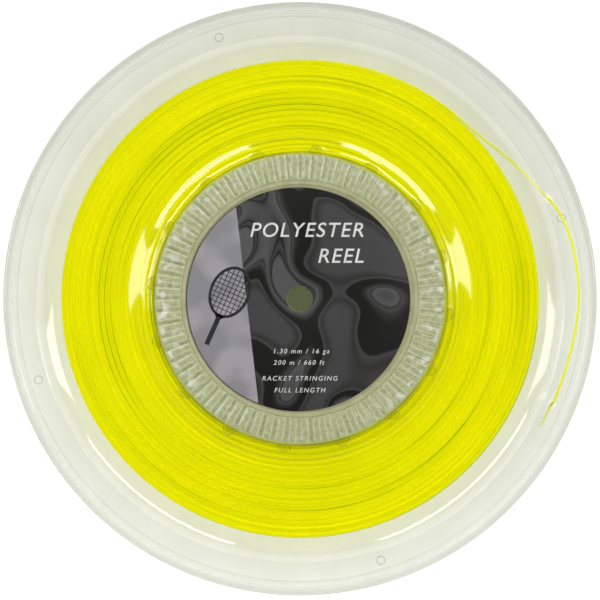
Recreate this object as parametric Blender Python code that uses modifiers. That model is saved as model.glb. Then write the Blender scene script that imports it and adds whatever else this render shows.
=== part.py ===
"""Racket string reel, lying flat on its rear rim.

Lengths are metres unless a name ends in _MM. The reel's axis is +Z and its front label faces +Z.
The rear rim stands on z = 0 and the axis passes through the origin.
Heights in the profiles are measured from the reel's middle plane, towards the face of the half being built.
"""

import math

import bmesh
import bpy
from mathutils import Matrix, Vector

MM = 0.001

# Driving dimensions.
REEL_DIAMETER_MM = 270.0
REEL_WIDTH_MM = 32.0
STRING_DIAMETER_MM = 1.3
BORE_DIAMETER_MM = 11.0
PACK_OUTER_R_MM = 109.5
FLUTE_COUNT = 68
LUG_COUNT = 16

# Dimensions that follow from them.
RIM_R_MM = REEL_DIAMETER_MM / 2.0
RIM_TOP_MM = REEL_WIDTH_MM / 2.0
STRING_R_MM = STRING_DIAMETER_MM / 2.0
BORE_R_MM = BORE_DIAMETER_MM / 2.0
WALL_MM = 1.5
GAP_MM = 0.3

# Radii of the hub, from the axis outwards.
TUBE_OUTER_R_MM = BORE_R_MM + 1.8
PLATE_OUTER_R_MM = 53.8
LABEL_R_MM = 51.0
LABEL_HOLE_R_MM = 6.15
LABEL_THICK_MM = 0.25
LABEL_RAISE_MM = 0.1
LABEL_CENTRE_MM = (-0.8, -0.2)
LABEL_HOLE_CENTRE_MM = (-0.3, 0.0)
RING_INNER_R_MM = PLATE_OUTER_R_MM + GAP_MM
RING_OUTER_R_MM = 66.8
BARREL_INNER_R_MM = 64.9
BARREL_OUTER_R_MM = 66.9
PACK_INNER_R_MM = 67.4
FLANGE_INNER_R_MM = 67.2

# Heights from the middle plane.
PLATE_TOP_MM = 14.0
PLATE_BOTTOM_MM = 12.2
LIP_TOP_MM = 14.9
LIP_INNER_R_MM = 52.1
RING_BOTTOM_MM = 11.2
RING_UNDERSIDE_MM = 12.5
FLUTE_DEPTH_MM = 1.1
BARREL_HALF_MM = 10.8
PACK_HALF_MM = 7.8
SEAT_MM = 12.0
WEB_MM = 9.7
CHANNEL_MM = 14.2
RIM_UNDERSIDE_MM = 12.6

# Lugs that lap over the inner edge of a flange.
LUG_R_MM = 3.3
LUG_CENTRE_R_MM = 67.1
LUG_BOTTOM_MM = SEAT_MM + GAP_MM
LUG_TOP_MM = 13.4
LUG_FIRST_DEG = 16.5

# Holes and round mould marks in the rim channel: radius, then angle in degrees.
TAIL_HOLE_R_MM = 1.95
TAIL_HOLES = ((122.2, 21.75), (124.5, -22.6))
DIMPLE_R_MM = 1.85
DIMPLE_DEPTH_MM = 0.5
DIMPLE_CIRCLE_R_MM = 124.7
DIMPLE_FIRST_DEG = 17.2
DIMPLE_COUNT = 4

# Loose end of the string: radius, angle in degrees, height. It leaves the pack between the flanges,
# comes out through one hole, lies in the rim channel and goes back in through the other hole.
TAIL_ROUTE = (
    (110.5, 49.5, 5.0),
    (110.7, 46.0, 5.4),
    (112.1, 40.0, 6.4),
    (114.1, 36.0, 7.3),
    (117.1, 30.2, 9.0),
    (119.3, 26.2, 10.2),
    (121.3, 23.2, 11.1),
    (121.95, 22.15, 12.2),
    (122.2, 21.75, 13.4),
    (122.45, 21.4, 14.6),
    (123.2, 20.4, 15.25),
    (125.0, 17.2, 14.97),
    (126.5, 11.5, 14.95),
    (127.0, 4.4, 14.95),
    (126.9, -1.5, 14.95),
    (126.0, -8.1, 14.95),
    (125.1, -15.1, 14.97),
    (124.75, -21.2, 15.25),
    (124.6, -22.25, 14.6),
    (124.5, -22.6, 13.4),
    (124.4, -22.95, 12.2),
    (124.3, -24.0, 11.3),
    (124.3, -26.0, 11.1),
    (124.4, -27.8, 11.0),
)

# Inner end of the string, drawn in through a hole in the barrel.
START_ANGLE_DEG = 200.0
START_HOLE_R_MM = 1.3
START_ROUTE = (
    (67.25, 200.0, 0.0),
    (65.9, 200.0, 0.0),
    (64.4, 199.9, 0.0),
    (63.5, 198.6, 0.0),
    (63.3, 195.0, 0.4),
    (63.2, 188.0, 1.4),
    (63.0, 180.0, 2.4),
)

# Facets.
FLANGE_STEPS = 60
RING_STEPS = 2 * FLUTE_COUNT
PLATE_STEPS = 48
TUBE_STEPS = 24
LUG_STEPS = 12
HOLE_STEPS = 12
LABEL_STEPS = 72
ROUTE_SUBDIVISIONS = 2
SHARP_ANGLE_DEG = 38.0

FRONT = 0.0
REAR = math.pi


def clear_scene():
    for item in list(bpy.data.objects):
        bpy.data.objects.remove(item, do_unlink=True)


def new_collection(name):
    group = bpy.data.collections.new(name)
    bpy.context.scene.collection.children.link(group)
    return group


def new_material(name, colour, roughness, alpha=1.0):
    material = bpy.data.materials.new(name)
    material.use_nodes = True
    shader = material.node_tree.nodes["Principled BSDF"]
    shader.inputs["Base Color"].default_value = (*colour, 1.0)
    shader.inputs["Roughness"].default_value = roughness
    shader.inputs["Metallic"].default_value = 0.0
    shader.inputs["Alpha"].default_value = alpha
    material.diffuse_color = (*colour, alpha)
    return material


def polar_point(radius_mm, angle_deg, height_mm):
    angle = math.radians(angle_deg)
    return Vector((radius_mm * math.cos(angle), radius_mm * math.sin(angle), height_mm)) * MM


def place_half(item, turn):
    """Stand an object made about the middle plane at its height; turn it over for the rear half."""
    item.location = (0.0, 0.0, RIM_TOP_MM * MM)
    item.rotation_euler = (turn, 0.0, 0.0)


def add_object(name, mesh, group, material=None):
    item = bpy.data.objects.new(name, mesh)
    group.objects.link(item)
    if material is not None:
        mesh.materials.clear()
        mesh.materials.append(material)
    return item


def add_cutter(name, mesh, turn):
    item = add_object(name, mesh, cutters)
    item.hide_render = True
    item.display_type = "WIRE"
    place_half(item, turn)
    return item


def add_boolean(item, cutter, operation):
    modifier = item.modifiers.new(operation.lower(), "BOOLEAN")
    modifier.object = cutter
    modifier.operation = operation
    modifier.solver = "EXACT"


def evaluated_mesh(item, name):
    """Turn an object with modifiers, or a curve, into a plain mesh and remove the object."""
    bpy.context.view_layer.update()
    graph = bpy.context.evaluated_depsgraph_get()
    mesh = bpy.data.meshes.new_from_object(item.evaluated_get(graph))
    mesh.name = name
    bpy.data.objects.remove(item, do_unlink=True)
    shape = bmesh.new()
    shape.from_mesh(mesh)
    bmesh.ops.remove_doubles(shape, verts=shape.verts, dist=1e-7)
    shape.to_mesh(mesh)
    shape.free()
    return mesh


def shade_round(mesh):
    for face in mesh.polygons:
        face.use_smooth = True
    mesh.set_sharp_from_angle(angle=math.radians(SHARP_ANGLE_DEG))


def turned_mesh(name, profile_mm, steps):
    """Spin a closed profile of (radius, height) points, listed clockwise, about the axis."""
    count = len(profile_mm)
    points = [(radius * MM, 0.0, height * MM) for radius, height in profile_mm]
    edges = [(index, (index + 1) % count) for index in range(count)]
    profile = bpy.data.meshes.new(name + "_profile")
    profile.from_pydata(points, edges, [])
    item = add_object(name + "_profile", profile, parts)
    screw = item.modifiers.new("turn", "SCREW")
    screw.axis = "Z"
    screw.angle = 2.0 * math.pi
    screw.steps = steps
    screw.render_steps = steps
    screw.use_merge_vertices = True
    screw.merge_threshold = 0.00001
    mesh = evaluated_mesh(item, name)
    shade_round(mesh)
    return mesh


def cylinders_mesh(name, cylinders, steps):
    """Make one mesh of cylinders, each given as centre, radius, length and turn matrix."""
    shape = bmesh.new()
    for centre, radius, length, turn in cylinders:
        bmesh.ops.create_cone(
            shape,
            cap_ends=True,
            segments=steps,
            radius1=radius,
            radius2=radius,
            depth=length,
            matrix=Matrix.Translation(centre) @ turn,
        )
    mesh = bpy.data.meshes.new(name)
    shape.to_mesh(mesh)
    shape.free()
    return mesh


def upright_cylinder(radius_at_mm, angle_deg, radius_mm, low_mm, high_mm):
    centre = polar_point(radius_at_mm, angle_deg, (low_mm + high_mm) / 2.0)
    turn = Matrix.Rotation(math.radians(angle_deg), 4, "Z")
    return centre, radius_mm * MM, (high_mm - low_mm) * MM, turn


def smooth_route(points):
    """Read a smooth curve through route points, so that a few chosen points give even bends."""
    ends = [2.0 * points[0] - points[1], *points, 2.0 * points[-1] - points[-2]]
    route = []
    for index in range(1, len(ends) - 2):
        before, start, stop, after = ends[index - 1:index + 3]
        for step in range(ROUTE_SUBDIVISIONS):
            t = step / ROUTE_SUBDIVISIONS
            pull = (stop - before) * t
            bend = (2.0 * before - 5.0 * start + 4.0 * stop - after) * t ** 2
            twist = (3.0 * start - before - 3.0 * stop + after) * t ** 3
            route.append(start + 0.5 * (pull + bend + twist))
    route.append(points[-1])
    return route


def string_mesh(name, route_polar):
    route = smooth_route([polar_point(*point) for point in route_polar])
    curve = bpy.data.curves.new(name, "CURVE")
    curve.dimensions = "3D"
    curve.bevel_depth = STRING_R_MM * MM
    curve.bevel_resolution = 2
    curve.use_fill_caps = True
    spline = curve.splines.new("POLY")
    spline.points.add(len(route) - 1)
    for point, place in zip(spline.points, route):
        point.co = (*place, 1.0)
    item = bpy.data.objects.new(name, curve)
    parts.objects.link(item)
    mesh = evaluated_mesh(item, name)
    bpy.data.curves.remove(curve)
    shade_round(mesh)
    return mesh


def flange_profile():
    """Seat under the lugs, shoulder down to the web, flare up to the rim channel, raised bead."""
    outer_face = [
        (FLANGE_INNER_R_MM, SEAT_MM),
        (70.9, SEAT_MM),
        (73.2, 11.0),
        (76.2, 10.1),
        (80.2, WEB_MM),
        (109.4, WEB_MM),
        (112.6, 10.1),
        (115.6, 11.2),
        (118.6, 13.2),
        (121.2, CHANNEL_MM),
        (131.4, CHANNEL_MM),
        (132.6, RIM_TOP_MM),
        (134.6, RIM_TOP_MM),
        (RIM_R_MM, 15.4),
    ]
    inner_face = [
        (RIM_R_MM, RIM_UNDERSIDE_MM),
        (121.6, RIM_UNDERSIDE_MM),
        (119.4, 11.9),
        (116.4, 9.8),
        (113.2, 8.6),
        (110.0, WEB_MM - WALL_MM),
        (79.6, WEB_MM - WALL_MM),
        (75.6, 8.6),
        (72.4, 9.5),
        (70.4, SEAT_MM - WALL_MM),
        (FLANGE_INNER_R_MM, SEAT_MM - WALL_MM),
    ]
    return outer_face + inner_face


def flange_cutter_mesh(name):
    cylinders = []
    for radius, angle in TAIL_HOLES:
        cylinders.append(upright_cylinder(radius, angle, TAIL_HOLE_R_MM, 9.0, 17.0))
    for index in range(DIMPLE_COUNT):
        angle = DIMPLE_FIRST_DEG + index * 360.0 / DIMPLE_COUNT
        floor = CHANNEL_MM - DIMPLE_DEPTH_MM
        cylinders.append(upright_cylinder(DIMPLE_CIRCLE_R_MM, angle, DIMPLE_R_MM, floor, 17.0))
    return cylinders_mesh(name, cylinders, HOLE_STEPS)


def build_flange(name, turn):
    mesh = turned_mesh(name, flange_profile(), FLANGE_STEPS)
    flange = add_object(name, mesh, parts, clear_plastic)
    place_half(flange, turn)
    cutter = add_cutter(name + "_holes", flange_cutter_mesh(name + "_holes"), turn)
    add_boolean(flange, cutter, "DIFFERENCE")


def press_flutes(mesh):
    """Lower every second column of the ring's upper face, which leaves one groove per flute."""
    flute_half = math.pi / FLUTE_COUNT
    inner = (RING_INNER_R_MM + 1.5) * MM
    outer = (RING_OUTER_R_MM - 1.6) * MM
    for vertex in mesh.vertices:
        radius = math.hypot(vertex.co.x, vertex.co.y)
        column = round(math.atan2(vertex.co.y, vertex.co.x) / flute_half)
        on_top = vertex.co.z > (RING_UNDERSIDE_MM + GAP_MM) * MM
        if on_top and inner < radius < outer and column % 2:
            vertex.co.z -= FLUTE_DEPTH_MM * MM


def lugs_mesh(name):
    cylinders = []
    for index in range(LUG_COUNT):
        angle = LUG_FIRST_DEG + index * 360.0 / LUG_COUNT
        cylinders.append(upright_cylinder(LUG_CENTRE_R_MM, angle, LUG_R_MM, LUG_BOTTOM_MM, LUG_TOP_MM))
    return cylinders_mesh(name, cylinders, LUG_STEPS)


def build_lock_ring(name, turn):
    profile = [
        (RING_INNER_R_MM, 14.6),
        (54.9, 15.2),
        (56.2, 15.3),
        (64.4, 14.9),
        (65.8, 14.4),
        (RING_OUTER_R_MM, 13.6),
        (RING_OUTER_R_MM, RING_BOTTOM_MM),
        (63.6, RING_BOTTOM_MM),
        (63.6, RING_UNDERSIDE_MM),
        (RING_INNER_R_MM, RING_UNDERSIDE_MM),
    ]
    mesh = turned_mesh(name, profile, RING_STEPS)
    press_flutes(mesh)
    ring = add_object(name, mesh, parts, hub_plastic)
    place_half(ring, turn)
    cutter = add_cutter(name + "_lugs", lugs_mesh(name + "_lugs"), turn)
    add_boolean(ring, cutter, "UNION")


def build_hub_plate(name, turn):
    profile = [
        (TUBE_OUTER_R_MM + GAP_MM, PLATE_TOP_MM),
        (LIP_INNER_R_MM, PLATE_TOP_MM),
        (LIP_INNER_R_MM + 0.4, LIP_TOP_MM),
        (PLATE_OUTER_R_MM - 0.4, LIP_TOP_MM),
        (PLATE_OUTER_R_MM, LIP_TOP_MM - 0.5),
        (PLATE_OUTER_R_MM, PLATE_BOTTOM_MM),
        (TUBE_OUTER_R_MM + GAP_MM, PLATE_BOTTOM_MM),
    ]
    plate = add_object(name, turned_mesh(name, profile, PLATE_STEPS), parts, hub_plastic)
    place_half(plate, turn)


def build_spindle_tube():
    profile = [
        (BORE_R_MM, PLATE_TOP_MM),
        (TUBE_OUTER_R_MM, PLATE_TOP_MM),
        (TUBE_OUTER_R_MM, -PLATE_TOP_MM),
        (BORE_R_MM, -PLATE_TOP_MM),
    ]
    tube = add_object("spindle_tube", turned_mesh("spindle_tube", profile, TUBE_STEPS), parts, hub_plastic)
    place_half(tube, FRONT)


def build_core_barrel():
    profile = [
        (BARREL_INNER_R_MM, BARREL_HALF_MM),
        (BARREL_OUTER_R_MM, BARREL_HALF_MM),
        (BARREL_OUTER_R_MM, -BARREL_HALF_MM),
        (BARREL_INNER_R_MM, -BARREL_HALF_MM),
    ]
    barrel = add_object("core_barrel", turned_mesh("core_barrel", profile, FLANGE_STEPS), parts, hub_plastic)
    place_half(barrel, FRONT)
    centre_r = (BARREL_INNER_R_MM + BARREL_OUTER_R_MM) / 2.0
    along_radius = Matrix.Rotation(math.radians(START_ANGLE_DEG), 4, "Z") @ Matrix.Rotation(math.pi / 2.0, 4, "Y")
    hole = (polar_point(centre_r, START_ANGLE_DEG, 0.0), START_HOLE_R_MM * MM, 6.0 * MM, along_radius)
    cutter = add_cutter("core_barrel_hole", cylinders_mesh("core_barrel_hole", [hole], HOLE_STEPS), FRONT)
    add_boolean(barrel, cutter, "DIFFERENCE")


def add_circle(curve, centre_mm, radius_mm, steps):
    spline = curve.splines.new("POLY")
    spline.points.add(steps - 1)
    spline.use_cyclic_u = True
    for index, point in enumerate(spline.points):
        angle = 2.0 * math.pi * index / steps
        x = centre_mm[0] + radius_mm * math.cos(angle)
        y = centre_mm[1] + radius_mm * math.sin(angle)
        point.co = (x * MM, y * MM, 0.0, 1.0)


def build_label(name, turn):
    curve = bpy.data.curves.new(name, "CURVE")
    curve.dimensions = "2D"
    curve.fill_mode = "BOTH"
    curve.extrude = LABEL_THICK_MM * MM / 2.0
    add_circle(curve, LABEL_CENTRE_MM, LABEL_R_MM, LABEL_STEPS)
    add_circle(curve, LABEL_HOLE_CENTRE_MM, LABEL_HOLE_R_MM, TUBE_STEPS)
    outline = bpy.data.objects.new(name, curve)
    parts.objects.link(outline)
    mesh = evaluated_mesh(outline, name)
    bpy.data.curves.remove(curve)
    height = PLATE_TOP_MM + LABEL_RAISE_MM + LABEL_THICK_MM / 2.0
    mesh.transform(Matrix.Translation((0.0, 0.0, height * MM)))
    label = add_object(name, mesh, parts, label_print)
    place_half(label, turn)


def build_string_winding():
    """One ring stands for all the turns of the pack, with the rounded shoulders of a loose winding."""
    half_profile = [
        (PACK_OUTER_R_MM, 4.6),
        (PACK_OUTER_R_MM - 0.6, 6.4),
        (PACK_OUTER_R_MM - 2.0, 7.5),
        (PACK_OUTER_R_MM - 4.0, PACK_HALF_MM),
        (PACK_INNER_R_MM, PACK_HALF_MM),
    ]
    lower_half = [(radius, -height) for radius, height in half_profile]
    profile = half_profile[::-1] + lower_half
    mesh = turned_mesh("string_winding", profile, FLANGE_STEPS)
    winding = add_object("string_winding", mesh, parts, string_polymer)
    place_half(winding, FRONT)


def build_string_end(name, route):
    item = add_object(name, string_mesh(name, route), parts, string_polymer)
    place_half(item, FRONT)


clear_scene()
parts = new_collection("string_reel")
cutters = new_collection("string_reel_cutters")

clear_plastic = new_material("clear_plastic", (0.80, 0.83, 0.66), 0.12, 0.45)
hub_plastic = new_material("hub_plastic", (0.46, 0.50, 0.30), 0.22)
label_print = new_material("label_print", (0.05, 0.05, 0.052), 0.35)
string_polymer = new_material("string_polymer", (0.75, 0.80, 0.01), 0.30)

for half, half_turn in (("front", FRONT), ("rear", REAR)):
    build_flange(half + "_flange", half_turn)
    build_lock_ring(half + "_lock_ring", half_turn)
    build_hub_plate(half + "_hub_plate", half_turn)
    build_label(half + "_label", half_turn)

build_spindle_tube()
build_core_barrel()
build_string_winding()
build_string_end("string_tail", TAIL_ROUTE)
build_string_end("string_start", START_ROUTE)
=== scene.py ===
"""Looks for the racket string reel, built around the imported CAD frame.

Lengths are metres unless a name ends in _MM. The reel's axis is +Z and its middle plane is at MID.
Profiles give (radius, height above the middle plane) in millimetres, listed clockwise.
"""

import math

import bmesh
import bpy
import numpy as np
from mathutils import Matrix, Vector


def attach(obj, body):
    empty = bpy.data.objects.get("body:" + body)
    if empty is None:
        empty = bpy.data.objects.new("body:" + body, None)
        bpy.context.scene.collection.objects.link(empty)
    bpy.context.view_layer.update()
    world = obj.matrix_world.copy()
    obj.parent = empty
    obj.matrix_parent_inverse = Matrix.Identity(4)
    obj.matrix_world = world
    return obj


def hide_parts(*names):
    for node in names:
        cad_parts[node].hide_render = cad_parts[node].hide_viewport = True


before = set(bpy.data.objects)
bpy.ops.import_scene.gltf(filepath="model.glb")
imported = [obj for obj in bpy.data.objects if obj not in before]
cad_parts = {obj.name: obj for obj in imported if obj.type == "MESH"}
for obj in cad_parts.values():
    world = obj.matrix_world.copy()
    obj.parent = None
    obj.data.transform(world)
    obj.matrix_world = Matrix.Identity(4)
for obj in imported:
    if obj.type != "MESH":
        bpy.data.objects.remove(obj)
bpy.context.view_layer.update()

MM = 0.001
MID = 0.016
STRING_D_MM = 1.3
FLUTES = 68
LUGS = 16
LUG_FIRST_DEG = 16.5

# ------------------------------------------------------------------ view, floor and light

CAMERA_HEIGHT = 1.12
LENS_MM = 147.7


def build_camera():
    data = bpy.data.cameras.new("view")
    data.lens = LENS_MM
    data.sensor_width = 36.0
    data.clip_start = 0.05
    data.clip_end = 20.0
    camera = bpy.data.objects.new("view", data)
    camera.location = (0.0, -0.0005, 2.0 * MID + CAMERA_HEIGHT)
    bpy.context.scene.collection.objects.link(camera)
    bpy.context.scene.camera = camera


# Emission of the table under the reel: radius, then linear colour. It keeps the table white and carries
# painted shade: dim under the reel, dark green below the hub as painted shade in the bore, a darker band at
# 0.121, and near black just outside the rim as a painted contact shadow.
TABLE_GLOW_AND_PAINTED_SHADE = (
    (0.052, (0.093, 0.105, 0.050)),
    (0.062, (0.305, 0.305, 0.250)),
    (0.118, (0.305, 0.305, 0.250)),
    (0.121, (0.235, 0.235, 0.205)),
    (0.1245, (0.345, 0.345, 0.345)),
    (0.135, (0.345, 0.345, 0.345)),
    (0.1362, (0.020, 0.020, 0.000)),
    (0.1388, (0.000, 0.000, 0.000)),
    (0.1395, (0.500, 0.500, 0.500)),
)

# Colour of the table, with a painted shadow that darkens it slightly under the rim: share of the emission
# table's reach, then linear colour.
TABLE_PAINTED_SHADOW = (
    (0.0, (0.90, 0.90, 0.90)),
    (0.955, (0.90, 0.90, 0.90)),
    (0.972, (0.80, 0.80, 0.77)),
    (0.978, (0.78, 0.78, 0.75)),
    (0.984, (0.90, 0.90, 0.90)),
)


def build_floor():
    """A white table. Its emission keeps it white; painted shade dims it under the reel and fades it out
    below the hub, painted light brightens it towards −Y outside the hub, and a painted shadow darkens its
    colour under the rim.
    """
    bpy.ops.mesh.primitive_plane_add(size=6.0, location=(0.0, 0.0, -0.0004))
    floor = bpy.context.object
    floor.name = "floor"
    material, nodes, links = new_material("floor_white_painted_shade")
    shader = nodes["Principled BSDF"]
    angle, radius, coords = polar_coords(nodes, links)
    reach = TABLE_GLOW_AND_PAINTED_SHADE[-1][0]
    place = math_node(nodes, links, "MULTIPLY", radius, 0.98 / reach)
    glow_and_painted_shade = ramp_node(nodes, links, place, [(at / reach * 0.98, colour) for at, colour in TABLE_GLOW_AND_PAINTED_SHADE])
    split = nodes.new("ShaderNodeSeparateXYZ")
    links.new(coords, split.inputs[0])
    # Painted light: more emission towards −Y, outside the hub.
    painted_light_lower_side = range_node(nodes, links, split.outputs["Y"], 0.14, -0.14, 0.0, 0.28)
    outside_hub = range_node(nodes, links, radius, 0.060, 0.075)
    painted_light = math_node(nodes, links, "MULTIPLY", painted_light_lower_side, outside_hub)
    total = nodes.new("ShaderNodeMix")
    total.data_type = "RGBA"
    total.blend_type = "ADD"
    total.inputs["Factor"].default_value = 1.0
    links.new(glow_and_painted_shade, total.inputs["A"])
    links.new(painted_light, total.inputs["B"])
    # Painted shadow: the base colour darkens under the rim.
    links.new(ramp_node(nodes, links, place, TABLE_PAINTED_SHADOW), shader.inputs["Base Color"])
    shader.inputs["Roughness"].default_value = 0.9
    shader.inputs["Specular IOR Level"].default_value = 0.1
    links.new(total.outputs["Result"], shader.inputs["Emission Color"])
    shader.inputs["Emission Strength"].default_value = 1.0
    floor.data.materials.append(material)


# Brightness of the surroundings, from the horizon up to overhead.
WORLD_LEVELS = ((0.0, 0.46), (0.16, 0.52), (0.33, 0.95), (0.56, 0.80), (0.68, 0.12), (0.82, 0.0))


def build_world():
    """Bright near the horizon and dark overhead, so the flat clear faces carry no white veil."""
    world = bpy.data.worlds.new("studio")
    bpy.context.scene.world = world
    world.use_nodes = True
    nodes = world.node_tree.nodes
    links = world.node_tree.links
    background = nodes["Background"]
    coords = nodes.new("ShaderNodeTexCoord")
    split = nodes.new("ShaderNodeSeparateXYZ")
    links.new(coords.outputs["Generated"], split.inputs[0])
    stops = [(position, (level, level, level)) for position, level in WORLD_LEVELS]
    links.new(ramp_node(nodes, links, split.outputs["Z"], stops), background.inputs["Color"])
    background.inputs["Strength"].default_value = 1.79


LIGHT_DISTANCE = 1.25


def add_softbox(name, azimuth_deg, zenith_deg, across, along, power):
    """An area light aimed at the reel: across is its width in azimuth, along its height in zenith."""
    azimuth = math.radians(azimuth_deg)
    zenith = math.radians(zenith_deg)
    data = bpy.data.lights.new(name, "AREA")
    data.shape = "RECTANGLE"
    data.size = across
    data.size_y = along
    data.energy = power
    light = bpy.data.objects.new(name, data)
    direction = Vector((
        math.sin(zenith) * math.cos(azimuth),
        math.sin(zenith) * math.sin(azimuth),
        math.cos(zenith),
    ))
    place = Matrix.Translation(direction * LIGHT_DISTANCE + Vector((0.0, 0.0, MID)))
    side = Vector((-math.sin(azimuth), math.cos(azimuth), 0.0))
    up = direction.cross(side)
    light.matrix_world = place @ Matrix((side, up, direction)).transposed().to_4x4()
    bpy.context.scene.collection.objects.link(light)


def build_lights():
    add_softbox("strip_right", 54.0, 40.0, 0.60, 0.12, 1.65)
    add_softbox("strip_left", 131.0, 40.0, 0.66, 0.12, 1.80)
    add_softbox("panel_right", 13.0, 34.0, 0.20, 0.62, 1.6)
    add_softbox("panel_left", 170.0, 34.0, 0.24, 0.62, 1.8)


# ------------------------------------------------------------------ meshes

def linked(name, data):
    """A new object in the scene, from a mesh or a curve."""
    item = bpy.data.objects.new(name, data)
    bpy.context.scene.collection.objects.link(item)
    return item


def mesh_object(name, vertices, faces, sharp_deg=40.0):
    mesh = bpy.data.meshes.new(name)
    mesh.from_pydata(vertices, [], faces)
    mesh.shade_smooth()
    mesh.set_sharp_from_angle(angle=math.radians(sharp_deg))
    return linked(name, mesh)


def band(here, there, size):
    """Quads between two closed rings of points. here and there are the rings' first indices."""
    faces = []
    for index in range(size):
        after = (index + 1) % size
        faces.append((here + index, there + index, there + after, here + after))
    return faces


def level_faces(lower, upper, size):
    """Quads between two levels of a closed outline, each from its corner on the lower one."""
    faces = []
    for index in range(size):
        after = (index + 1) % size
        faces.append((lower + index, lower + after, upper + after, upper + index))
    return faces


def placed(x, y, height, over):
    """A point in metres from millimetres. The rear half is the front half turned over about X."""
    sign = -1.0 if over else 1.0
    return (x * MM, sign * y * MM, sign * height * MM + MID)


def turned(name, profile, steps, lift=None, over=False):
    """Spin a closed clockwise profile. lift(radii, heights, angle) gives each column's own shape."""
    radii = np.array([point[0] for point in profile])
    heights = np.array([point[1] for point in profile])
    count = len(profile)
    vertices = []
    sign = -1.0 if over else 1.0
    for step in range(steps):
        angle = 2.0 * math.pi * step / steps
        across, column = lift(radii, heights, angle) if lift else (radii, heights)
        x = across * math.cos(angle) * MM
        y = sign * across * math.sin(angle) * MM
        z = sign * column * MM + MID
        vertices.extend(zip(x.tolist(), y.tolist(), z.tolist()))
    faces = []
    for step in range(steps):
        faces.extend(band(step * count, ((step + 1) % steps) * count, count))
    return mesh_object(name, vertices, faces)


def rounded(points, radius_at):
    """Replace chosen corners of a closed profile with short arcs. radius_at maps index to radius."""
    count = len(points)
    result = []
    for index, point in enumerate(points):
        radius = radius_at.get(index, 0.0)
        if radius <= 0.0:
            result.append(point)
            continue
        corner = Vector(point)
        back = (Vector(points[index - 1]) - corner).normalized()
        ahead = (Vector(points[(index + 1) % count]) - corner).normalized()
        half = back.angle(ahead) / 2.0
        reach = radius / math.tan(half)
        start = corner + back * reach
        stop = corner + ahead * reach
        for part in range(5):
            t = part / 4.0
            place = start * (1 - t) ** 2 + corner * (2 * t * (1 - t)) + stop * t ** 2
            result.append((place.x, place.y))
    return result


def cut(item, cylinders):
    """Subtract upright cylinders, each given as x, y, radius, low and high in millimetres."""
    shape = bmesh.new()
    for x, y, radius, low, high in cylinders:
        centre = Vector((x * MM, y * MM, (low + high) / 2.0 * MM + MID))
        bmesh.ops.create_cone(
            shape, cap_ends=True, segments=32, radius1=radius * MM, radius2=radius * MM,
            depth=(high - low) * MM, matrix=Matrix.Translation(centre),
        )
    mesh = bpy.data.meshes.new("cutter")
    shape.to_mesh(mesh)
    shape.free()
    cutter = linked("cutter", mesh)
    modifier = item.modifiers.new("cut", "BOOLEAN")
    modifier.object = cutter
    modifier.operation = "DIFFERENCE"
    modifier.solver = "EXACT"
    bake_modifiers(item)
    bpy.data.objects.remove(cutter, do_unlink=True)
    item.data.shade_smooth()
    item.data.set_sharp_from_angle(angle=math.radians(40.0))


def bake_modifiers(item):
    """Replace the object's mesh with its evaluated one."""
    bpy.context.view_layer.update()
    graph = bpy.context.evaluated_depsgraph_get()
    mesh = bpy.data.meshes.new_from_object(item.evaluated_get(graph))
    item.modifiers.clear()
    old = item.data
    item.data = mesh
    bpy.data.meshes.remove(old)
    mesh.name = item.name


def finish_piece(item, material, slot, *nodes):
    """Give a piece its material; the slot argument is not used. It rides on the reel and stands for the CAD
    nodes named.
    """
    item.data.materials.clear()
    item.data.materials.append(material)
    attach(item, "root")
    if nodes:
        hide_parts(*nodes)


# ------------------------------------------------------------------ materials

def new_material(name):
    material = bpy.data.materials.new(name)
    material.use_nodes = True
    return material, material.node_tree.nodes, material.node_tree.links


def math_node(nodes, links, operation, first, second=None):
    node = nodes.new("ShaderNodeMath")
    node.operation = operation
    for socket, value in zip(node.inputs, (first, second)):
        if value is None:
            continue
        if isinstance(value, (int, float)):
            socket.default_value = value
        else:
            links.new(value, socket)
    return node.outputs[0]


def product(nodes, links, *values):
    """Multiply two or more sockets or numbers."""
    result = values[0]
    for value in values[1:]:
        result = math_node(nodes, links, "MULTIPLY", result, value)
    return result


def range_node(nodes, links, value, start, stop, low=0.0, high=1.0):
    """Map start to low and stop to high, held beyond both."""
    node = nodes.new("ShaderNodeMapRange")
    node.inputs["From Min"].default_value = start
    node.inputs["From Max"].default_value = stop
    node.inputs["To Min"].default_value = low
    node.inputs["To Max"].default_value = high
    links.new(value, node.inputs["Value"])
    return node.outputs[0]


def mix_node(nodes, links, factor, first, second):
    """Blend from the first colour to the second. Each is a socket or a plain linear colour."""
    node = nodes.new("ShaderNodeMix")
    node.data_type = "RGBA"
    for name, colour in (("A", first), ("B", second)):
        if isinstance(colour, tuple):
            node.inputs[name].default_value = (*colour, 1.0)
        else:
            links.new(colour, node.inputs[name])
    links.new(factor, node.inputs["Factor"])
    return node.outputs["Result"]


def polar_coords(nodes, links):
    """Angle and radius about the reel's axis, and the object coordinates that they come from."""
    coords = nodes.new("ShaderNodeTexCoord")
    split = nodes.new("ShaderNodeSeparateXYZ")
    links.new(coords.outputs["Object"], split.inputs[0])
    angle = math_node(nodes, links, "ARCTAN2", split.outputs["Y"], split.outputs["X"])
    squares = math_node(
        nodes, links, "ADD",
        product(nodes, links, split.outputs["X"], split.outputs["X"]),
        product(nodes, links, split.outputs["Y"], split.outputs["Y"]),
    )
    radius = math_node(nodes, links, "SQRT", squares)
    return angle, radius, coords.outputs["Object"]


def noise_node(nodes, links, vector, scale, detail=2.0, roughness=0.5):
    node = nodes.new("ShaderNodeTexNoise")
    node.inputs["Scale"].default_value = scale
    node.inputs["Detail"].default_value = detail
    node.inputs["Roughness"].default_value = roughness
    links.new(vector, node.inputs["Vector"])
    return node.outputs["Fac"]


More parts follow.
